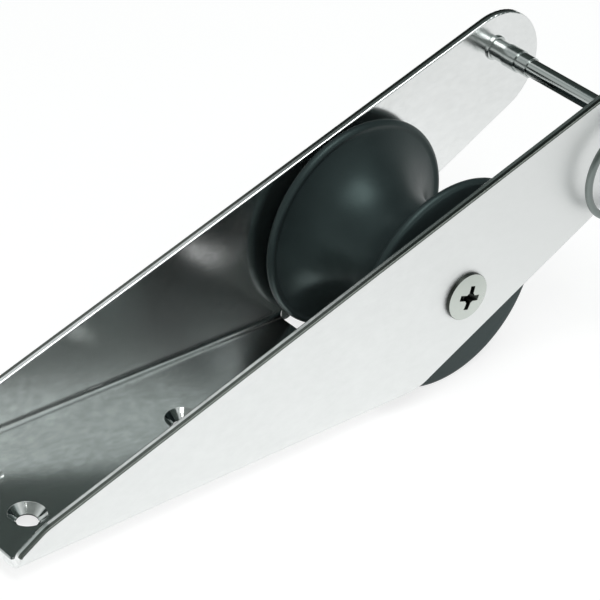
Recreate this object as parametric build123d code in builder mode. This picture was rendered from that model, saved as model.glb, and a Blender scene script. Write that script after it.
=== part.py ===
from build123d import *
import math
import os

# Stemhead roller: a folded stainless channel for the bow of a boat, with a rubber anchor
# roller on an axle between its cheeks and a removable keeper pin across its nose.
# X runs forward, Y to port and Z up. The origin is on the underside of the base plate,
# midway between its rear pair of fixing holes. All sizes are millimetres.

os.makedirs("parts", exist_ok=True)

# Folded channel
channel_length = 250.0
channel_width = 60.0
channel_height = 87.5
sheet = 3.0
bend_radius = 2.5
rear_margin = 16.0
base_behind_axle = 25.5
corner_lead = 4.0
rear_height = 6.0
bevel_run = 9.0
bevel_height = 12.0
rear_corner_round = 2.5
bevel_round = 14.0
nose_radius = 19.5
edge_round = 0.6
front_cut_round = 1.5

# Countersunk fixing holes in the base
fixing_hole = 6.6
fixing_sink = 11.8
fixing_sink_angle = 90.0
rear_hole_spacing = 22.0
centre_hole_x = 66.0

# Roller and its axle
axle_from_front = 82.0
axle_z = 32.0
roller_side_gap = 3.3
rim_radius = 36.4
bead_radius = 1.6
bead_root = 0.6
groove_radius = 18.0
core_radius = 13.0
core_wall = 3.0
bush_spacing = 10.0
bush_flange_radius = 12.5
bush_running_gap = 0.3
axle_radius = 7.0
running_fit = 0.08

# Screws that hold the axle
screw_radius = 4.0
screw_hole_fit = 0.2
thread_fit = 0.05
screw_reach = 17.0
head_radius = 8.0
head_side = 1.7
head_crown = 0.9
recess_span = 7.8
recess_width = 1.6
recess_centre = 1.7
recess_depth = 3.2
recess_taper = 8.0
recess_turn = -8.5

# Keeper pin, the boss that takes its far end, and its pull ring
pin_from_front = 20.5
pin_from_top = 12.0
pin_radius = 3.0
pin_fit = 0.08
pin_tip_inset = 0.5
pin_tip_chamfer = 0.8
collar_radius = 4.6
collar_length = 1.6
collar_gap = 0.1
eye_offset = 3.2
eye_end = 3.6
eye_radius = 1.9
boss_length = 17.0
boss_radius = 3.5
boss_band_radius = 3.85
boss_band_start = 6.3
boss_band_length = 5.6
boss_groove_radius = 3.3
boss_groove_width = 0.8
ring_wire_radius = 1.25
ring_mean_radius = 16.25

# Places worked out from the sizes above
half_width = channel_width / 2
inner_half = half_width - sheet
bend_outer = bend_radius + sheet
rear_x = -rear_margin
front_x = rear_x + channel_length
nose = (front_x - nose_radius, channel_height - nose_radius)
axle_x = front_x - axle_from_front
base_front = axle_x - base_behind_axle
cheek_corner = base_front + corner_lead
pin_x = front_x - pin_from_front
pin_z = channel_height - pin_from_top
roller_half = inner_half - roller_side_gap
bush_outer = core_radius - core_wall
bush_flange = roller_side_gap - bush_running_gap
bush_end = bush_spacing / 2
collar_face = half_width + collar_gap
eye_y = -(collar_face + collar_length + eye_offset)
pin_end = eye_y - eye_end
pin_tip = half_width - pin_tip_inset
axle_line = Axis((axle_x, 0, axle_z), (0, 1, 0))
axle_plane = Plane(origin=(axle_x, 0, axle_z), x_dir=(0, 1, 0), z_dir=(1, 0, 0))
pin_line = Axis((pin_x, 0, pin_z), (0, 1, 0))
pin_plane = Plane(origin=(pin_x, 0, pin_z), x_dir=(0, 1, 0), z_dir=(1, 0, 0))


def touching_point(start, centre, radius, turn):
    """Point where the straight line from start touches a circle, to either side of it."""
    toward = math.atan2(start[1] - centre[1], start[0] - centre[0])
    reach = math.hypot(start[0] - centre[0], start[1] - centre[1])
    angle = toward + turn * math.acos(radius / reach)
    return (centre[0] + radius * math.cos(angle), centre[1] + radius * math.sin(angle)), angle


bevel_top = (rear_x + bevel_run, bevel_height)
corner = (cheek_corner, 0)
top_touch, top_angle = touching_point(bevel_top, nose, nose_radius, -1)
low_touch, low_angle = touching_point(corner, nose, nose_radius, 1)
low_angle = math.degrees(low_angle)
top_angle = math.degrees(top_angle)
nose_sweep = (top_angle - low_angle) % 360

# One sheet, folded up on both sides: the section is run along the base and trimmed to the
# outline of the cheeks, whose top and front edges run straight into the round nose.
with BuildPart() as channel:
    with BuildSketch(Plane.YZ.offset(rear_x)):
        with BuildSketch(mode=Mode.PRIVATE) as hollow:
            with Locations((0, sheet)):
                Rectangle(2 * inner_half, channel_height, align=(Align.CENTER, Align.MIN))
            fillet(hollow.vertices().group_by(Axis.Y)[0], bend_radius)
        with BuildSketch(mode=Mode.PRIVATE) as outside:
            Rectangle(channel_width, channel_height, align=(Align.CENTER, Align.MIN))
            fillet(outside.vertices().group_by(Axis.Y)[0], bend_outer)
        add(outside.sketch)
        add(hollow.sketch, mode=Mode.SUBTRACT)
    extrude(amount=channel_length)
    with BuildSketch(Plane.XZ) as cheek_outline:
        with BuildLine():
            Polyline(corner, (rear_x, 0), (rear_x, rear_height), bevel_top, top_touch)
            CenterArc(nose, nose_radius, low_angle, nose_sweep)
            Line(low_touch, corner)
        make_face()
        rear_corners = cheek_outline.vertices().group_by(Axis.X)
        fillet(rear_corners[1], bevel_round)
        fillet(cheek_outline.vertices().group_by(Axis.X)[0].sort_by(Axis.Y)[-1], rear_corner_round)
    extrude(amount=channel_width, both=True, mode=Mode.INTERSECT)
    with BuildSketch(Plane.XY) as front_cut:
        with Locations((base_front, 0)):
            Rectangle(channel_length, 2 * inner_half, align=(Align.MIN, Align.CENTER))
        fillet(front_cut.vertices().group_by(Axis.X)[0], front_cut_round)
    extrude(amount=bend_outer, mode=Mode.SUBTRACT)
    with Locations(
        (0, rear_hole_spacing / 2, sheet),
        (0, -rear_hole_spacing / 2, sheet),
        (centre_hole_x, 0, sheet),
    ):
        CounterSinkHole(fixing_hole / 2, fixing_sink / 2, counter_sink_angle=fixing_sink_angle)
    with BuildSketch(Plane.XZ):
        with Locations((axle_x, axle_z)):
            Circle(screw_radius + screw_hole_fit)
        with Locations((pin_x, pin_z)):
            Circle(pin_radius + pin_fit)
    extrude(amount=channel_width, both=True, mode=Mode.SUBTRACT)
    cheek_faces = channel.faces().filter_by(Axis.Y).sort_by(SortBy.AREA)[-4:]
    trimmed = ShapeList(edge for face in cheek_faces for edge in face.outer_wire().edges())
    trimmed = trimmed.filter_by_position(Axis.Z, bend_outer + edge_round, channel_height)
    fillet(trimmed + channel.edges().group_by(Axis.X)[0], edge_round)
channel.part.label = "channel"

# Rubber tyre: a round bead at each rim, and between the beads one deep round groove that
# centres the anchor's shank and its chain.
bead_y = roller_half - bead_radius
bead_centre = rim_radius - bead_radius
flank_y = roller_half - 2 * bead_radius + bead_root
flank_radius = bead_centre - bead_root
with BuildPart() as roller_tyre:
    with BuildSketch(axle_plane):
        with BuildLine():
            Line((0, core_radius), (roller_half, core_radius))
            Line((roller_half, core_radius), (roller_half, bead_centre))
            CenterArc((bead_y, bead_centre), bead_radius, 0, 180)
            Line((bead_y - bead_radius, bead_centre), (flank_y, flank_radius))
            mirror(about=Plane.YZ)
            ThreePointArc((flank_y, flank_radius), (0, groove_radius), (-flank_y, flank_radius))
        make_face()
    revolve(axis=axle_line)
roller_tyre.part.label = "roller_tyre"

# Rigid tube that the rubber is bonded to
with BuildPart() as roller_core:
    with BuildSketch(axle_plane):
        with Locations((0, bush_outer)):
            Rectangle(2 * roller_half, core_wall, align=(Align.CENTER, Align.MIN))
    revolve(axis=axle_line)
roller_core.part.label = "roller_core"

# Flanged bushes, pressed into the core from each side, that turn on the axle
bushes = []
for side, side_name in ((1, "port"), (-1, "starboard")):
    with BuildPart() as bush:
        with BuildSketch(axle_plane):
            with BuildLine():
                Polyline(
                    (side * bush_end, axle_radius + running_fit),
                    (side * bush_end, bush_outer),
                    (side * roller_half, bush_outer),
                    (side * roller_half, bush_flange_radius),
                    (side * (roller_half + bush_flange), bush_flange_radius),
                    (side * (roller_half + bush_flange), axle_radius + running_fit),
                    close=True,
                )
            make_face()
        revolve(axis=axle_line)
    bush.part.label = f"bush_{side_name}"
    bushes.append(bush)

# Axle: a tube clamped between the cheeks, tapped at both ends for its screws
with BuildPart() as axle_tube:
    with BuildSketch(axle_plane):
        with Locations((0, screw_radius + thread_fit)):
            wall = axle_radius - screw_radius - thread_fit
            Rectangle(2 * inner_half, wall, align=(Align.CENTER, Align.MIN))
    revolve(axis=axle_line)
axle_tube.part.label = "axle_tube"

# Pan-head screws with a cross recess, one through each cheek into the axle
screw_end = half_width - screw_reach
head_edge = half_width + head_side
head_top = head_edge + head_crown
with BuildPart() as axle_screws:
    for side in (1, -1):
        with BuildSketch(axle_plane):
            with BuildLine():
                Polyline(
                    (side * head_top, 0),
                    (side * screw_end, 0),
                    (side * screw_end, screw_radius),
                    (side * half_width, screw_radius),
                    (side * half_width, head_radius),
                    (side * head_edge, head_radius),
                )
                TangentArc((side * head_top, 0), (side * head_edge, head_radius), tangent=(0, 1))
            make_face()
        revolve(axis=axle_line)
        recess_plane = Plane(
            origin=(axle_x, side * head_top, axle_z),
            x_dir=(1, 0, 0),
            z_dir=(0, side, 0),
        ).rotated((0, 0, -side * recess_turn))
        with BuildSketch(recess_plane):
            Rectangle(recess_span, recess_width)
            Rectangle(recess_width, recess_span)
            Circle(recess_centre)
        extrude(amount=-recess_depth, taper=recess_taper, mode=Mode.SUBTRACT)
axle_screws.part.label = "axle_screws"

# Boss inside the port cheek that receives the end of the keeper pin: a plain sleeve with a
# thicker band round its middle and a narrow groove beside the band, away from the cheek
boss_end = inner_half - boss_length
band_far = inner_half - boss_band_start
band_near = band_far - boss_band_length
groove_near = band_near - boss_groove_width
with BuildPart() as pin_boss:
    with BuildSketch(pin_plane):
        with BuildLine():
            Polyline(
                (inner_half, pin_radius + pin_fit),
                (inner_half, boss_radius),
                (band_far, boss_radius),
                (band_far, boss_band_radius),
                (band_near, boss_band_radius),
                (band_near, boss_groove_radius),
                (groove_near, boss_groove_radius),
                (groove_near, boss_radius),
                (boss_end, boss_radius),
                (boss_end, pin_radius + pin_fit),
                close=True,
            )
        make_face()
    revolve(axis=pin_line)
pin_boss.part.label = "pin_boss"

# Keeper pin: drawn out to starboard to pass the anchor, with a collar that stops on the cheek
# and an eye across its end for the ring
with BuildPart() as keeper_pin:
    with BuildSketch(pin_plane):
        with BuildLine():
            Polyline(
                (pin_tip, 0),
                (pin_tip, pin_radius - pin_tip_chamfer),
                (pin_tip - pin_tip_chamfer, pin_radius),
                (-collar_face, pin_radius),
                (-collar_face, collar_radius),
                (-collar_face - collar_length, collar_radius),
                (-collar_face - collar_length, pin_radius),
                (pin_end + pin_tip_chamfer, pin_radius),
                (pin_end, pin_radius - pin_tip_chamfer),
                (pin_end, 0),
                close=True,
            )
        make_face()
    revolve(axis=pin_line)
    with BuildSketch(Plane(origin=(pin_x, eye_y, pin_z), x_dir=(0, 1, 0), z_dir=(1, 0, 0))):
        Circle(eye_radius)
    extrude(amount=pin_radius, both=True, mode=Mode.SUBTRACT)
keeper_pin.part.label = "keeper_pin"

# Pull ring, hanging from the eye beside the starboard cheek
ring_z = pin_z - ring_mean_radius
with BuildPart() as pin_ring:
    with BuildSketch(Plane(origin=(pin_x, eye_y, ring_z), x_dir=(0, 1, 0), z_dir=(1, 0, 0))):
        with Locations((0, ring_mean_radius)):
            Circle(ring_wire_radius)
    revolve(axis=Axis((pin_x, eye_y, ring_z), (0, 1, 0)))
pin_ring.part.label = "pin_ring"

roller_pieces = (roller_tyre, roller_core, *bushes)
axle_pieces = (axle_tube, axle_screws)
keeper_pieces = (pin_boss, keeper_pin, pin_ring)
for piece in (channel, *roller_pieces, *axle_pieces, *keeper_pieces):
    export_step(piece.part, f"parts/{piece.part.label}.step")
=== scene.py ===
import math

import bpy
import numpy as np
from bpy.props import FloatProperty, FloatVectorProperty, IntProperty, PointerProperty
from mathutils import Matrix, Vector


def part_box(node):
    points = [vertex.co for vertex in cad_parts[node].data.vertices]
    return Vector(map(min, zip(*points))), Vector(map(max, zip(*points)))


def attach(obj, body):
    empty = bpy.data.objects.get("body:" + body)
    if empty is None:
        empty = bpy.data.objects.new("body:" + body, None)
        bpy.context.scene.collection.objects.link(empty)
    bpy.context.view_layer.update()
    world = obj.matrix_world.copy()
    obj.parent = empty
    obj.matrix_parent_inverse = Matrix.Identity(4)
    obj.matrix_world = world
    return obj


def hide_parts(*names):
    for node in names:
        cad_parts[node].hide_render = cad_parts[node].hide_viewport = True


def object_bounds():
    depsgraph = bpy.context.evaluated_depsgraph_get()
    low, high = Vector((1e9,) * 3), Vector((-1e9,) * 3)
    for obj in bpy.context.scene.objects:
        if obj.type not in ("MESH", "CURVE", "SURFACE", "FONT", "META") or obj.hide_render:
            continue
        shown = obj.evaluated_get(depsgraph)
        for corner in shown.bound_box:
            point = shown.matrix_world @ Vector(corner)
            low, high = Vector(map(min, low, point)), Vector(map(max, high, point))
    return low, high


bl_info = {
    "name": "Stemhead roller",
    "version": (1, 0, 0),
    "blender": (4, 5, 0),
    "location": "3D View > Sidebar > Stemhead roller",
    "description": "Finishes a folded stainless bow channel with its roller, keeper pin and ring",
    "category": "Object",
}

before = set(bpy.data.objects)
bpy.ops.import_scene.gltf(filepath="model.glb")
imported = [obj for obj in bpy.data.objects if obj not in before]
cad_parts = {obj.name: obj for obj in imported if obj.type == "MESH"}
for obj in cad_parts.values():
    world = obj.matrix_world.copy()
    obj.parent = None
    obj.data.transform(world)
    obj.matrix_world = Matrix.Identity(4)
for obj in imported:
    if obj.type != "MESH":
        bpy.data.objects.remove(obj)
cad_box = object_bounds()

X, Y, Z = range(3)


def middle(node, axis):
    """Place midway along a node's box on one axis."""
    low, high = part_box(node)
    return (low[axis] + high[axis]) / 2


def half(node, axis):
    """Half the length of a node's box on one axis."""
    low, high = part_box(node)
    return (high[axis] - low[axis]) / 2


def highest(node, axis):
    """Highest place of a node on one axis."""
    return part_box(node)[1][axis]


axle_x = middle("roller_tyre", X)
axle_z = middle("roller_tyre", Z)
tyre_radius = half("roller_tyre", Z)
tyre_half_width = half("roller_tyre", Y)
core_radius = half("roller_core", Z)
boss_x = middle("pin_boss", X)
boss_z = middle("pin_boss", Z)
cheek_inside = highest("pin_boss", Y)
cheek_outside = highest("channel", Y)
sheet = cheek_outside - cheek_inside
floor_z = cad_box[0].z

# Room tones from the front port side, at 0, to the rear starboard side, at 1
ROOM_LINE = (-0.81, -0.55, 0.2)
ROOM_TONES = (
    (0.0, (0.04, 0.05, 0.045)),
    (0.33, (0.05, 0.065, 0.06)),
    (0.42, (0.09, 0.11, 0.105)),
    (0.5, (0.4, 0.45, 0.44)),
    (0.56, (0.42, 0.46, 0.45)),
    (0.63, (0.6, 0.63, 0.62)),
    (0.85, (0.2, 0.22, 0.21)),
)
HORIZON_TONE = (0.8, 0.82, 0.81)

# Cards that the steel shows: name, span along X, two places (y, z) between which they run, tone.
# Two dark ones lie just over the floor under and beside the part: a painted shadow of the floor
# that the steel shows. One stands upright to port, and the light one slopes high beyond it.
card_z = floor_z + 0.001
DARK_TONE = (0.03, 0.036, 0.034)
LIGHT_TONE = (0.72, 0.74, 0.74)
CARDS = (
    # The two low cards are painted shadow: in reflections the floor glows there and shows no shadow
    ("under_shadow_card", (-0.014, 0.2), (-0.02, card_z), (0.024, card_z), DARK_TONE),
    ("nose_shadow_card", (0.15, 0.26), (0.028, card_z), (0.16, card_z), DARK_TONE),
    ("back_card", (-0.2, 0.9), (0.3, card_z), (0.3, 0.25), DARK_TONE),
    ("rear_panel", (-0.05, 0.23), (0.55, 0.85), (0.75, 0.65), LIGHT_TONE),
)

# Soft lamps: name, place, power in watts, and whether the steel mirrors them
LAMPS = (
    ("key_lamp", (0.05, -0.45, 1.3), 9, True),
    ("fill_lamp", (-0.9, -0.9, 0.9), 3, False),
)
LAMP_SIZE = 0.8
LAMP_TARGET = (axle_x * 0.7, 0, axle_z)
FLOOR_REACH = 4.0


# Short forms for the settings of the groups below
def colour(name, description, default):
    return FloatVectorProperty(
        name=name, description=description, subtype="COLOR", size=3, min=0, max=1, default=default
    )


def length(name, description, default):
    return FloatProperty(
        name=name, description=description, default=default, min=0, unit="LENGTH", precision=5
    )


def angle(name, description, degrees):
    return FloatProperty(
        name=name, description=description, subtype="ANGLE", default=math.radians(degrees)
    )


def steps(name, description, default):
    return IntProperty(name=name, description=description, default=default, min=48, max=512)


class StemheadColours(bpy.types.PropertyGroup):
    plate: colour("Plate", "Satin polished stainless of the folded channel", (0.88, 0.9, 0.89))
    # Near black tone of the cheeks' outer edges: painted shade, standing in for their dark
    # reflection
    painted_edge_shade: colour("Sheared edge", "Dull outer edge of the channel's plate", (0.15, 0.165, 0.15))
    turned: colour("Turned steel", "Stainless of the axle tube", (0.74, 0.76, 0.76))
    screw: colour("Screw steel", "Stainless of the axle screws' heads", (0.58, 0.62, 0.58))
    # Near black tone that paints shade into the screws' recess and onto the side of their heads
    recess: colour("Recess", "Dark recess and side of the screws' heads", (0.05, 0.055, 0.05))
    polished: colour("Polished steel", "Stainless of the pin and its boss", (0.55, 0.58, 0.57))
    # Dark tone of the pull ring: painted shade, standing in for the dark reflections on bright steel
    ring: colour("Ring steel", "Duller spring steel of the pull ring", (0.22, 0.25, 0.24))
    rubber: colour("Rubber", "Moulded rubber of the roller", (0.02, 0.028, 0.029))
    acetal: colour("Acetal", "Natural acetal of the core and the bushes", (0.8, 0.79, 0.74))
    floor: colour("Floor", "Plain pale floor under the part", (0.9, 0.9, 0.9))


class StemheadSizes(bpy.types.PropertyGroup):
    bend_height: length("Bend height", "Height past which the cheeks are flat", 0.0056)
    sink_reach: length("Countersink reach", "From the middle line to past the countersinks", 0.02)
    rim_bead: length("Rim bead", "Radius of the round bead at each rim of the roller", 0.0016)
    bead_root: length("Bead root", "Depth of the step between a rim bead and the groove", 0.0006)
    groove_radius: length("Groove radius", "Radius of the roller at its groove's bottom", 0.018)
    tyre_segments: steps("Roller segments", "Steps round the roller", 192)
    head_radius: length("Screw head radius", "Radius of the axle screws' heads", 0.008)
    head_side: length("Screw head side", "Straight side of the screws' heads", 0.0013)
    head_crown: length("Screw crown", "Rise of the domed face of the screws' heads", 0.0009)
    shank_radius: length("Screw shank radius", "Radius of the axle screws' shanks", 0.004)
    screw_end: length("Screw end", "From the middle line to the end of a screw's shank", 0.013)
    recess_reach: length("Recess reach", "From the screw's middle to a recess wing's end", 0.0041)
    recess_width: length("Recess width", "Width of a recess wing", 0.0019)
    recess_middle: length("Recess middle", "Radius of the round middle of the recess", 0.0019)
    recess_depth: length("Recess depth", "From the top of the head to the recess floor", 0.0028)
    recess_turn: angle("Recess turn", "Turn of the recess about the screw", -16.5)
    screw_segments: steps("Screw segments", "Steps round a screw", 384)
    sleeve_radius: length("Sleeve radius", "Radius of the boss where it meets the cheek", 0.0035)
    weld_bead: length("Weld bead", "Radius of the weld round the boss on the cheek", 0.0007)
    weld_segments: steps("Weld segments", "Steps round the boss's weld", 96)


class StemheadView(bpy.types.PropertyGroup):
    azimuth: angle("Azimuth", "Side that the camera looks from", -42.76)
    elevation: angle("Elevation", "Height of the camera above the horizon", 32.89)
    roll: angle("Roll", "Tilt of the camera about its own line of sight", 4.40)
    distance: length("Distance", "From the camera to the point that it aims at", 0.8441)
    lens: FloatProperty(
        name="Lens", description="Focal length on a 36 mm sensor", subtype="DISTANCE_CAMERA",
        default=162.05, min=1
    )
    aim: FloatVectorProperty(
        name="Aim", description="Point that the camera looks at", subtype="TRANSLATION",
        unit="LENGTH", default=(0.11646, 0.0066, 0.0238), precision=5
    )


class StemheadSettings(bpy.types.PropertyGroup):
    colours: PointerProperty(type=StemheadColours)
    sizes: PointerProperty(type=StemheadSizes)
    view: PointerProperty(type=StemheadView)


class Nodes:
    """Short way to add and join a material's or a world's nodes."""

    def __init__(self, owner):
        owner.use_nodes = True
        self.tree = owner.node_tree
        self.tree.nodes.clear()

    def feed(self, socket, value):
        """Links a socket to another node's output, or sets its own value."""
        if isinstance(value, bpy.types.NodeSocket):
            self.tree.links.new(value, socket)
        else:
            socket.default_value = value

    def add(self, kind, values=(), **settings):
        node = self.tree.nodes.new(kind)
        for key, value in settings.items():
            setattr(node, key, value)
        for key, value in dict(values).items():
            self.feed(node.inputs[key], value)
        return node

    def math(self, operation, first, second=0.0):
        return self.add("ShaderNodeMath", {0: first, 1: second}, operation=operation).outputs[0]

    def ramp(self, factor, low, high, out_low=0.0, out_high=1.0):
        values = {0: factor, 1: low, 2: high, 3: out_low, 4: out_high}
        return self.add("ShaderNodeMapRange", values).outputs[0]

    def noise(self, place, scale, detail=2.0, roughness=0.5):
        values = {"Vector": place, "Scale": scale, "Detail": detail, "Roughness": roughness}
        return self.add("ShaderNodeTexNoise", values).outputs["Fac"]

    def mix(self, factor, first, second):
        """Blend of two colours, whose sockets the node keeps at places 6 and 7."""
        node = self.add("ShaderNodeMix", data_type="RGBA")
        for socket, value in ((0, factor), (6, first), (7, second)):
            self.feed(node.inputs[socket], value)
        return node.outputs[2]


def rgba(values, factor=1.0):
    """Opaque colour, made darker or lighter by the factor."""
    return (*[min(1.0, v * factor) for v in values], 1.0)


def place_of(nodes, scale=(1, 1, 1)):
    """Object coordinates, stretched for a pattern."""
    place = nodes.add("ShaderNodeTexCoord").outputs["Object"]
    return nodes.add("ShaderNodeMapping", {"Vector": place, "Scale": scale}).outputs[0]


def plate_masks(nodes, axes, sizes):
    """Where the channel is outside, where it is in a countersink, and where it is the outer half
    of an edge that gets painted shade, told from the place and the way that the surface faces."""
    normal = nodes.add("ShaderNodeNewGeometry").outputs["Normal"]
    facing = nodes.add("ShaderNodeSeparateXYZ", {0: normal}).outputs
    aside = nodes.math("ABSOLUTE", axes[Y])

    clearance = 0.00005
    under_face = nodes.math("LESS_THAN", axes[Z], sheet - clearance)
    in_base = nodes.math("LESS_THAN", aside, sizes.sink_reach)
    sunk = nodes.math("MULTIPLY", under_face, in_base)

    outward = nodes.math("MULTIPLY", facing[Y], nodes.math("SIGN", axes[Y]))
    to_side = nodes.ramp(outward, 0.15, 0.45)
    to_deck = nodes.ramp(facing[Z], -0.15, -0.45)
    outside = nodes.math("MAXIMUM", to_side, to_deck)
    outside = nodes.math("MULTIPLY", outside, nodes.math("SUBTRACT", 1.0, sunk))

    # Outer half of the cheeks' upper edges, which the plate finish paints near black as painted
    # shade
    flat_facing = 0.97
    above = nodes.math("GREATER_THAN", axes[Z], sizes.bend_height)
    edge = nodes.math("LESS_THAN", nodes.math("ABSOLUTE", facing[Y]), flat_facing)
    outer = nodes.math("GREATER_THAN", aside, cheek_inside + sheet / 2)
    painted_edge_shade = nodes.math("MULTIPLY", nodes.math("MULTIPLY", above, edge), outer)
    return outside, sunk, painted_edge_shade


def plate_finish(colours, sizes):
    """Satin plate: mottled by its polish inside, duller outside the cheeks, with painted shade on
    its outer edges in place of their dark reflection, and smooth machined countersinks."""
    material = bpy.data.materials.new("satin_plate")
    nodes = Nodes(material)
    place = place_of(nodes)
    axes = nodes.add("ShaderNodeSeparateXYZ", {0: place}).outputs
    outside, sunk, painted_edge_shade = plate_masks(nodes, axes, sizes)
    grain = nodes.noise(place_of(nodes, (60, 900, 900)), 1.0, 3.0)
    mottle = nodes.noise(place_of(nodes, (0.6, 1, 1)), 420.0, 5.0, 0.65)
    cloud = nodes.noise(place, 60.0, 3.0)

    # The mottle fades on the outsides and towards the nose.
    fine = nodes.ramp(mottle, 0.3, 0.7, -0.75, 0.75)
    coarse = nodes.ramp(cloud, 0.3, 0.7, -0.25, 0.25)
    patch = nodes.math("ADD", fine, coarse)
    patch = nodes.math("MULTIPLY", patch, nodes.ramp(outside, 0, 1, 1.0, 0.15))
    forward = nodes.ramp(axes[X], axle_x * 0.8, axle_x * 1.2, 1.0, 0.25)
    patch = nodes.math("MULTIPLY", patch, forward)

    darker, lighter = rgba(colours.plate, 0.8), rgba(colours.plate, 1.12)
    tint = nodes.mix(nodes.ramp(patch, -1, 1), darker, lighter)
    # Painted shade: the outer half of the edges takes a near black tone in place of their dark
    # reflection
    tint = nodes.mix(painted_edge_shade, tint, rgba(colours.painted_edge_shade))
    rough = nodes.ramp(patch, -1, 1, 0.22, 0.17)
    rough = nodes.math("ADD", rough, nodes.ramp(outside, 0, 1, 0.0, 0.3))
    rough = nodes.math("SUBTRACT", rough, nodes.ramp(sunk, 0, 1, 0.0, 0.11))
    bump = nodes.add("ShaderNodeBump", {"Height": grain, "Strength": 0.03, "Distance": 0.0002})
    shader = nodes.add("ShaderNodeBsdfPrincipled", {
        "Base Color": tint, "Metallic": 1.0, "Roughness": rough, "Normal": bump.outputs[0]
    })
    nodes.add("ShaderNodeOutputMaterial", {"Surface": shader.outputs[0]})
    return material


def turned_finish(name, tone, rough, depth):
    """Turned or polished steel: very fine rings of a given depth, and a little haze that takes
    the roughness from the first to the second value."""
    material = bpy.data.materials.new(name)
    nodes = Nodes(material)
    rings = nodes.noise(place_of(nodes, (200, 4000, 200)), 1.0, 2.0)
    haze = nodes.noise(place_of(nodes), 160.0, 3.0)
    bump = nodes.add("ShaderNodeBump", {"Height": rings, "Strength": depth, "Distance": 0.0001})
    shader = nodes.add("ShaderNodeBsdfPrincipled", {
        "Base Color": nodes.mix(haze, rgba(tone, 0.95), rgba(tone, 1.03)),
        "Metallic": 1.0,
        "Roughness": nodes.ramp(haze, 0.3, 0.7, *rough),
        "Normal": bump.outputs[0],
    })
    nodes.add("ShaderNodeOutputMaterial", {"Surface": shader.outputs[0]})
    return material


def screw_finish(colours):
    """Screw steel: bright domed face, with painted shade where the shade attribute says, in the
    recess and on the side of the head."""
    material = bpy.data.materials.new("screw_steel")
    nodes = Nodes(material)
    shade = nodes.add("ShaderNodeAttribute", attribute_name="shade").outputs["Fac"]
    haze = nodes.noise(place_of(nodes), 300.0, 3.0)
    bright = nodes.mix(haze, rgba(colours.screw, 0.94), rgba(colours.screw, 1.04))
    shader = nodes.add("ShaderNodeBsdfPrincipled", {
        # Painted shade: near black where the shade attribute is high, in the recess and on the
        # head's side
        "Base Color": nodes.mix(shade, bright, rgba(colours.recess)),
        "Metallic": 1.0,
        "Roughness": nodes.ramp(haze, 0.3, 0.7, 0.26, 0.36),
    })
    nodes.add("ShaderNodeOutputMaterial", {"Surface": shader.outputs[0]})
    return material


def rubber_finish(colours):
    """Moulded rubber: near black, with a fine skin and slightly uneven gloss."""
    material = bpy.data.materials.new("moulded_rubber")
    nodes = Nodes(material)
    place = place_of(nodes)
    skin = nodes.noise(place, 1400.0, 3.0)
    cloud = nodes.noise(place, 70.0, 3.0)
    bump = nodes.add("ShaderNodeBump", {"Height": skin, "Strength": 0.12, "Distance": 0.0002})
    shader = nodes.add("ShaderNodeBsdfPrincipled", {
        "Base Color": nodes.mix(cloud, rgba(colours.rubber, 0.8), rgba(colours.rubber, 1.3)),
        "Roughness": nodes.ramp(cloud, 0.3, 0.7, 0.34, 0.46),
        "Specular IOR Level": 0.4,
        "Specular Tint": (0.72, 1.0, 0.97, 1.0),
        "Normal": bump.outputs[0],
    })
    nodes.add("ShaderNodeOutputMaterial", {"Surface": shader.outputs[0]})
    return material


def acetal_finish(colours):
    """Machined acetal: dull, with faint turning marks."""
    material = bpy.data.materials.new("machined_acetal")
    nodes = Nodes(material)
    rings = nodes.noise(place_of(nodes, (200, 3000, 200)), 1.0, 2.0)
    cloud = nodes.noise(place_of(nodes), 90.0, 2.0)
    bump = nodes.add("ShaderNodeBump", {"Height": rings, "Strength": 0.1, "Distance": 0.0001})
    shader = nodes.add("ShaderNodeBsdfPrincipled", {
        "Base Color": nodes.mix(cloud, rgba(colours.acetal, 0.96), rgba(colours.acetal, 1.02)),
        "Roughness": nodes.ramp(cloud, 0.3, 0.7, 0.38, 0.48),
        "Normal": bump.outputs[0],
    })
    nodes.add("ShaderNodeOutputMaterial", {"Surface": shader.outputs[0]})
    return material


def dress(node, material):
    """Gives a CAD node its material, in every slot that it has."""
    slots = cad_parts[node].data.materials
    slots.clear()
    slots.append(material)


def mesh_object(name, points, quads, fans=None):
    """Object at the origin whose smooth mesh holds the points, quads and fans of triangles. All
    its faces are turned over if the quads point inwards on the whole."""
    faces = quads.tolist() + ([] if fans is None else fans.tolist())
    mesh = bpy.data.meshes.new(name)
    mesh.from_pydata(points.tolist(), [], faces)
    mesh.polygons.foreach_set("use_smooth", np.ones(len(faces), bool))
    mesh.update()
    corners = points[quads]
    across = np.cross(corners[:, 2] - corners[:, 0], corners[:, 3] - corners[:, 1])
    if np.einsum("ij,ij->", corners.mean(1), across) < 0:
        mesh.flip_normals()
    piece = bpy.data.objects.new(name, mesh)
    bpy.context.scene.collection.objects.link(piece)
    return piece


def grid_faces(rows, segments, wrapped):
    """Quads of a grid that closes round its columns, and round its rows too where it is wrapped."""
    joined = rows if wrapped else rows - 1
    row, step = np.meshgrid(np.arange(joined), np.arange(segments), indexing="ij")
    next_row, next_step = (row + 1) % rows, (step + 1) % segments
    return np.stack([
        row * segments + step, next_row * segments + step,
        next_row * segments + next_step, row * segments + next_step,
    ], axis=-1).reshape(-1, 4)


def turned_surface(name, radii, places, centre, segments):
    """Surface of revolution about a line along Y.

    With s the place along the closed profile and t the turn from 0 to 2 pi, a point is
    (centre x + r(s) cos t, y(s), centre z + r(s) sin t). Both directions wrap, so the
    surface closes on itself.
    """
    turn = np.linspace(0, 2 * np.pi, segments, endpoint=False)
    radius, along = np.asarray(radii)[:, None], np.asarray(places)[:, None]
    points = np.stack([
        centre[0] + radius * np.cos(turn), along + 0 * turn, centre[1] + radius * np.sin(turn)
    ], axis=-1).reshape(-1, 3)
    return mesh_object(name, points, grid_faces(len(radii), segments, wrapped=True))


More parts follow.
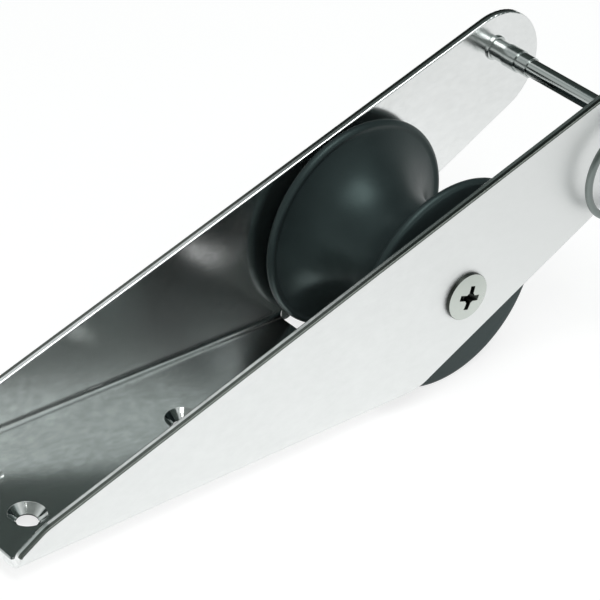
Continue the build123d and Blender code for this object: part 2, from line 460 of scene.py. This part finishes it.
def cross_outline(turn, half_length, half_width, middle_radius):
    """Distance from the centre to a cross's outline at each turn: the farthest of two crossing
    bars and a round middle, where a bar ends at the nearer of half_length / |cos t| and
    half_width / |sin t|."""
    least = 1e-6
    cosine = np.maximum(np.abs(np.cos(turn)), least)
    sine = np.maximum(np.abs(np.sin(turn)), least)
    along = np.minimum(half_length / cosine, half_width / sine)
    across = np.minimum(half_length / sine, half_width / cosine)
    return np.maximum(np.maximum(along, across), middle_radius)


def screw_rows(sizes, turn):
    """Radius and place along the screw of each row of its surface, at each turn, and its painted
    shade.

    The rows run from the shank's end over the head's underside, side and dome to the edge of
    the cross recess, down the recess's sloping walls and over its floor to the middle. On the
    dome the place is top - (R - sqrt(R^2 - r^2)) with R = (h^2 + c^2) / 2c, where h is the head's
    radius and c its rise. The head's edge is a quarter of a circle. The first row and the last
    leave a small hub open for a fan.
    """
    head, rise, under = sizes.head_radius, sizes.head_crown, cheek_outside
    shank, end = sizes.shank_radius, sizes.screw_end
    edge, lip, floor_fall = 0.00025, 0.00008, 0.0003
    hub, chamfer, lip_part, reach_taper, width_taper = 0.02, 0.1, 0.3, 0.45, 0.3
    edge_steps, dome_steps, wall_steps = 8, 16, 14
    # Amounts of painted shade that the rows carry
    bright, half_dark, dark = 0.0, 0.4, 1.0
    dome = (head**2 + rise**2) / (2 * rise)
    top = under + sizes.head_side + rise
    floor_place = top - sizes.recess_depth
    rows = []

    def add(radius, place, shade):
        rows.append((radius + 0 * turn, place + 0 * turn, shade))

    def dome_at(radius):
        return top - dome + np.sqrt(dome**2 - radius**2)

    def recess_at(part):
        return cross_outline(
            turn,
            sizes.recess_reach * (1 - reach_taper * part),
            sizes.recess_width / 2 * (1 - width_taper * part),
            sizes.recess_middle * (1 - width_taper * part),
        )

    # Shank, from its small end face to the underside of the head
    add(shank * hub, end, bright)
    add(shank * (1 - chamfer), end, bright)
    add(shank, end + shank * chamfer, bright)
    add(shank, under, bright)

    # Side of the head and its rounded edge, in painted shade up to a turn of dark_until
    dark_until = 0.9
    add(head - edge / 2, under, dark)
    add(head, under + edge / 2, dark)
    edge_place = dome_at(head - edge) - edge
    for swing in np.linspace(0, np.pi / 2, edge_steps):
        shade = dark if swing < dark_until else bright
        add(head - edge + edge * np.cos(swing), edge_place + edge * np.sin(swing), shade)

    # Dome, from a circle at the head's edge to the outline of the recess
    rim = recess_at(0.0)
    for part in np.linspace(0.06, 1, dome_steps):
        radius = (head - edge) * (1 - part) + (rim + lip) * part
        add(radius, dome_at(radius), bright)

    # Recess: its broken edge, its walls and its floor, which falls a little to the middle, in
    # painted shade
    add(rim + lip * lip_part, dome_at(rim) - lip * lip_part, half_dark)
    for part in np.linspace(0.02, 1, wall_steps):
        add(recess_at(part), (dome_at(rim) - lip) * (1 - part) + floor_place * part, dark)
    floor = recess_at(1.0)
    for part in (0.6, 0.25, hub):
        add(floor * part, floor_place - floor_fall * (1 - part), dark)

    radii, places, shades = zip(*rows)
    return np.array(radii), np.array(places), np.repeat(shades, len(turn))


def screw_pair(name, sizes):
    """Both axle screws in one mesh, the second the first one's mirror image.

    With r and p the radius and place of a row at the turn t, a point is
    (axle x + r cos(t + recess turn), p or -p, axle z + r sin(t + recess turn)). A fan of
    triangles round a point on the axle's line closes each end.
    """
    segments = sizes.screw_segments
    turn = np.linspace(0, 2 * np.pi, segments, endpoint=False)
    radii, places, shades = screw_rows(sizes, turn)
    swung = turn + sizes.recess_turn
    count = radii.size
    quads = grid_faces(len(radii), segments, wrapped=False)
    step = np.arange(segments)
    ahead = (step + 1) % segments
    last_row = count - segments
    fans = np.concatenate([
        np.stack([0 * step + count, step, ahead], axis=-1),
        np.stack([0 * step + count + 1, last_row + ahead, last_row + step], axis=-1),
    ])
    points, faces, caps = [], [], []
    for index, side in enumerate((1, -1)):
        grid = np.stack([
            axle_x + radii * np.cos(swung), side * places, axle_z + radii * np.sin(swung)
        ], axis=-1).reshape(-1, 3)
        ends = [(axle_x, side * place, axle_z) for place in (places[0, 0], places[-1, 0])]
        points.append(np.concatenate([grid, ends]))
        faces.append(quads[:, ::side] + index * (count + 2))
        caps.append(fans[:, ::side] + index * (count + 2))
    points, faces, caps = (np.concatenate(parts) for parts in (points, faces, caps))
    screws = mesh_object(name, points, faces, caps)
    sharp_from = math.radians(32)
    screws.data.set_sharp_from_angle(angle=sharp_from)
    # The shade attribute holds the painted shade of each point
    shade = screws.data.attributes.new("shade", "FLOAT", "POINT")
    end_shades = [0.0, 1.0]
    shade.data.foreach_set("value", np.tile(np.concatenate([shades, end_shades]), 2))
    return screws


def tyre_profile(sizes):
    """Closed outline of the tyre as radius over place along the axle: the bore, a flat side,
    the round rim bead, the step to the groove, the groove as one arc of a circle, and the same
    bead and side mirrored."""
    bore_steps, side_steps, bead_steps, groove_steps = 12, 14, 20, 64
    bead, root = sizes.rim_bead, sizes.bead_root
    rim = tyre_radius - bead
    flank_place, flank = tyre_half_width - 2 * bead + root, rim - root
    rise = flank - sizes.groove_radius
    groove = (flank_place**2 + rise**2) / (2 * rise)
    reach = math.asin(flank_place / groove)
    bore = np.linspace(-tyre_half_width, tyre_half_width, bore_steps, endpoint=False)
    side = np.linspace(core_radius, rim, side_steps, endpoint=False)
    sweep = np.linspace(0, np.pi, bead_steps)
    bead_place = tyre_half_width - bead + bead * np.cos(sweep)
    bead_radius = rim + bead * np.sin(sweep)
    swing = np.linspace(reach, -reach, groove_steps)
    groove_place = groove * np.sin(swing)
    groove_radii = sizes.groove_radius + groove - groove * np.cos(swing)
    far_side = side[:0:-1]
    places = np.concatenate([
        bore, np.full(len(side), tyre_half_width), bead_place, groove_place,
        -bead_place[::-1], np.full(len(far_side), -tyre_half_width),
    ])
    radii = np.concatenate([
        np.full(len(bore), core_radius), side, bead_radius, groove_radii,
        bead_radius[::-1], far_side,
    ])
    return radii, places


def weld_profile(sizes):
    """Closed outline of the weld: a circle whose middle stands one fifth of its radius outside
    the boss's sleeve and about a third of it in front of the cheek."""
    bead = sizes.weld_bead
    outside_sleeve, before_cheek, bead_steps = 0.2, 0.35, 16
    sweep = np.linspace(0, 2 * np.pi, bead_steps, endpoint=False)
    radii = sizes.sleeve_radius + bead * outside_sleeve + bead * np.cos(sweep)
    places = cheek_inside - bead * before_cheek + bead * np.sin(sweep)
    return radii, places


class STEMHEAD_OT_plate(bpy.types.Operator):
    """Give the folded channel its satin plate with painted shade on its outer edges"""

    bl_idname = "stemhead.plate"
    bl_label = "Folded channel"

    def execute(self, context):
        settings = context.scene.stemhead
        dress("channel", plate_finish(settings.colours, settings.sizes))
        return {"FINISHED"}


class STEMHEAD_OT_axle(bpy.types.Operator):
    """Give the axle its turned steel"""

    bl_idname = "stemhead.axle"
    bl_label = "Axle"

    def execute(self, context):
        tone = context.scene.stemhead.colours.turned
        dress("axle_tube", turned_finish("turned_steel", tone, rough=(0.16, 0.24), depth=0.06))
        return {"FINISHED"}


class STEMHEAD_OT_screws(bpy.types.Operator):
    """Make the pan-head screws of the axle with their cross recess, one at each cheek"""

    bl_idname = "stemhead.screws"
    bl_label = "Axle screws"

    def execute(self, context):
        settings = context.scene.stemhead
        screws = screw_pair("pan_head_screws", settings.sizes)
        screws.data.materials.append(screw_finish(settings.colours))
        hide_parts("axle_screws")
        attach(screws, "channel_body")
        return {"FINISHED"}


class STEMHEAD_OT_tyre(bpy.types.Operator):
    """Make the grooved rubber tyre of the roller"""

    bl_idname = "stemhead.tyre"
    bl_label = "Rubber tyre"

    def execute(self, context):
        settings = context.scene.stemhead
        radii, places = tyre_profile(settings.sizes)
        segments = settings.sizes.tyre_segments
        tyre = turned_surface("rubber_tyre", radii, places, (axle_x, axle_z), segments)
        tyre.data.materials.append(rubber_finish(settings.colours))
        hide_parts("roller_tyre")
        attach(tyre, "roller")
        return {"FINISHED"}


class STEMHEAD_OT_bearings(bpy.types.Operator):
    """Give the core and the bushes their machined acetal"""

    bl_idname = "stemhead.bearings"
    bl_label = "Core and bushes"

    def execute(self, context):
        acetal = acetal_finish(context.scene.stemhead.colours)
        for node in ("roller_core", "bush_port", "bush_starboard"):
            dress(node, acetal)
        return {"FINISHED"}


class STEMHEAD_OT_keeper(bpy.types.Operator):
    """Give the keeper pin its polish, its boss a duller steel, and the pull ring a dark steel as
    painted shade
    """

    bl_idname = "stemhead.keeper"
    bl_label = "Keeper pin, boss and ring"

    def execute(self, context):
        colours = context.scene.stemhead.colours
        for node, name, tone, rough in (
            ("keeper_pin", "polished_steel", colours.polished, (0.06, 0.1)),
            ("pin_boss", "boss_steel", colours.polished, (0.15, 0.22)),
            # The ring's dark tone is painted shade
            ("pin_ring", "darkened_ring_steel", colours.ring, (0.3, 0.38)),
        ):
            dress(node, turned_finish(name, tone, rough, depth=0.03))
        return {"FINISHED"}


class STEMHEAD_OT_boss_weld(bpy.types.Operator):
    """Make the small weld where the boss meets the inside of the cheek"""

    bl_idname = "stemhead.boss_weld"
    bl_label = "Boss weld"

    def execute(self, context):
        sizes = context.scene.stemhead.sizes
        radii, places = weld_profile(sizes)
        weld = turned_surface("boss_weld", radii, places, (boss_x, boss_z), sizes.weld_segments)
        weld.data.materials.append(bpy.data.materials["boss_steel"])
        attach(weld, "channel_body")
        return {"FINISHED"}


def soft_lamp(name, place, power, mirrored):
    """Square soft lamp that faces the part, and leaves no highlight where it isn't mirrored."""
    lamp = bpy.data.lights.new(name, "AREA")
    lamp.size, lamp.energy = LAMP_SIZE, power
    holder = bpy.data.objects.new(name, lamp)
    holder.location, holder.visible_glossy = place, mirrored
    holder.rotation_euler = (Vector(LAMP_TARGET) - Vector(place)).to_track_quat("-Z", "Y").to_euler()
    bpy.context.scene.collection.objects.link(holder)


def studio_world(world):
    """Room that the steel shows: dark behind the part, light overhead and at both sides, dimmer
    behind the camera, and pale near the horizon."""
    nodes = Nodes(world)
    direction = nodes.add("ShaderNodeTexCoord").outputs["Generated"]
    values = {0: direction, 1: ROOM_LINE}
    along = nodes.add("ShaderNodeVectorMath", values, operation="DOT_PRODUCT").outputs["Value"]
    ramp = nodes.add("ShaderNodeValToRGB", {0: nodes.ramp(along, -1.0, 1.0)})
    stops = ramp.color_ramp.elements
    for index, (place, tone) in enumerate(ROOM_TONES):
        stop = stops[index] if index < 2 else stops.new(place)
        stop.position, stop.color = place, rgba(tone)
    height = nodes.add("ShaderNodeSeparateXYZ", {0: direction}).outputs[Z]
    near_horizon = nodes.ramp(height, 0.1, 0.25, 1.0, 0.0)
    tone = nodes.mix(near_horizon, ramp.outputs[0], rgba(HORIZON_TONE))
    room = nodes.add("ShaderNodeBackground", {"Color": tone, "Strength": 1.0})
    nodes.add("ShaderNodeOutputWorld", {"Surface": room.outputs[0]})


def floor_finish(colours):
    """Pale floor that reads as white and keeps a soft shadow; past the nose to starboard its glow is
    weaker, a painted falloff of the room's light."""
    material = bpy.data.materials.new("pale_floor")
    nodes = Nodes(material)
    path = nodes.add("ShaderNodeLightPath").outputs
    seen = nodes.math("MAXIMUM", path["Is Camera Ray"], path["Is Glossy Ray"])
    seen = nodes.math("MAXIMUM", seen, path["Is Transmission Ray"])
    # Painted falloff of light: the glow drops from 0.75 to 0.6 past a line beyond the nose
    values = {0: nodes.add("ShaderNodeTexCoord").outputs["Object"], 1: (0.7, -0.715, 0)}
    past = nodes.add("ShaderNodeVectorMath", values, operation="DOT_PRODUCT").outputs["Value"]
    strength = nodes.ramp(past, 0.17, 0.25, 0.75, 0.6)
    lit = nodes.add("ShaderNodeBsdfDiffuse", {"Color": rgba(colours.floor)})
    shade = nodes.add("ShaderNodeBsdfDiffuse", {"Color": rgba(colours.floor, 0.4)})
    glow = nodes.add("ShaderNodeEmission", {"Color": (1, 1, 1, 1), "Strength": strength})
    both = nodes.add("ShaderNodeAddShader", {0: shade.outputs[0], 1: glow.outputs[0]})
    shader = nodes.add("ShaderNodeMixShader", {0: seen, 1: lit.outputs[0], 2: both.outputs[0]})
    nodes.add("ShaderNodeOutputMaterial", {"Surface": shader.outputs[0]})
    return material


def stage_sheet(name, span, start, end):
    """Flat rectangle of the stage that runs along X over the span, between two places (y, z)."""
    left, right = span
    mesh = bpy.data.meshes.new(name)
    corners = [(left, *start), (right, *start), (right, *end), (left, *end)]
    mesh.from_pydata(corners, [], [(0, 1, 2, 3)])
    holder = bpy.data.objects.new(name, mesh)
    bpy.context.scene.collection.objects.link(holder)
    return holder


def studio_card(name, span, start, end, tone):
    """Evenly toned card that the steel and the rubber show, and the camera doesn't see."""
    material = bpy.data.materials.new(name)
    nodes = Nodes(material)
    even = nodes.add("ShaderNodeEmission", {"Color": rgba(tone), "Strength": 1.0})
    nodes.add("ShaderNodeOutputMaterial", {"Surface": even.outputs[0]})
    card = stage_sheet(name, span, start, end)
    card.data.materials.append(material)
    card.visible_camera = card.visible_diffuse = card.visible_shadow = False


def photo_camera(view):
    """Camera turned by azimuth and elevation about its aim, then rolled about its line of sight."""
    back = Vector((
        math.sin(view.azimuth) * math.cos(view.elevation),
        -math.cos(view.azimuth) * math.cos(view.elevation),
        math.sin(view.elevation),
    ))
    camera = bpy.data.objects.new("photo_camera", bpy.data.cameras.new("photo_camera"))
    camera.data.lens, camera.data.sensor_width = view.lens, 36
    camera.data.clip_start, camera.data.clip_end = 0.01, 20
    turn = (-back).to_track_quat("-Z", "Y").to_matrix() @ Matrix.Rotation(view.roll, 3, "Z")
    place = Matrix.Translation(Vector(view.aim) + back * view.distance)
    camera.matrix_world = place @ turn.to_4x4()
    bpy.context.scene.collection.objects.link(camera)
    bpy.context.scene.camera = camera


class STEMHEAD_OT_stage(bpy.types.Operator):
    """Make the floor, the cards that the steel shows, the soft lamps, the room and the camera"""

    bl_idname = "stemhead.stage"
    bl_label = "Stage"

    def execute(self, context):
        settings = context.scene.stemhead
        reach = FLOOR_REACH
        floor = stage_sheet("floor", (-reach, reach), (-reach, floor_z), (reach, floor_z))
        floor.data.materials.append(floor_finish(settings.colours))
        for card in CARDS:
            studio_card(*card)
        for lamp in LAMPS:
            soft_lamp(*lamp)
        if context.scene.world is None:
            context.scene.world = bpy.data.worlds.new("studio")
        studio_world(context.scene.world)
        photo_camera(settings.view)
        context.scene.view_settings.view_transform = "Standard"
        return {"FINISHED"}


class STEMHEAD_PT_panel(bpy.types.Panel):
    bl_label = "Stemhead roller"
    bl_idname = "STEMHEAD_PT_panel"
    bl_space_type = "VIEW_3D"
    bl_region_type = "UI"
    bl_category = "Stemhead roller"

    def draw(self, context):
        settings = context.scene.stemhead
        for group in (settings.colours, settings.sizes, settings.view):
            box = self.layout.box()
            for key in group.__annotations__:
                box.prop(group, key)
        for step in STEPS:
            self.layout.operator(step.bl_idname)


STEPS = (
    STEMHEAD_OT_plate,
    STEMHEAD_OT_axle,
    STEMHEAD_OT_screws,
    STEMHEAD_OT_tyre,
    STEMHEAD_OT_bearings,
    STEMHEAD_OT_keeper,
    STEMHEAD_OT_boss_weld,
    STEMHEAD_OT_stage,
)
GROUPS = (StemheadColours, StemheadSizes, StemheadView, StemheadSettings)
CLASSES = (*GROUPS, *STEPS, STEMHEAD_PT_panel)


def register():
    for entry in CLASSES:
        bpy.utils.register_class(entry)
    bpy.types.Scene.stemhead = PointerProperty(type=StemheadSettings)


def unregister():
    del bpy.types.Scene.stemhead
    for entry in reversed(CLASSES):
        bpy.utils.unregister_class(entry)


def main():
    """Runs every step in order."""
    register()
    bpy.ops.stemhead.plate()
    bpy.ops.stemhead.axle()
    bpy.ops.stemhead.screws()
    bpy.ops.stemhead.tyre()
    bpy.ops.stemhead.bearings()
    bpy.ops.stemhead.keeper()
    bpy.ops.stemhead.boss_weld()
    bpy.ops.stemhead.stage()
    bpy.context.view_layer.update()


if __name__ == "__main__":
    main()
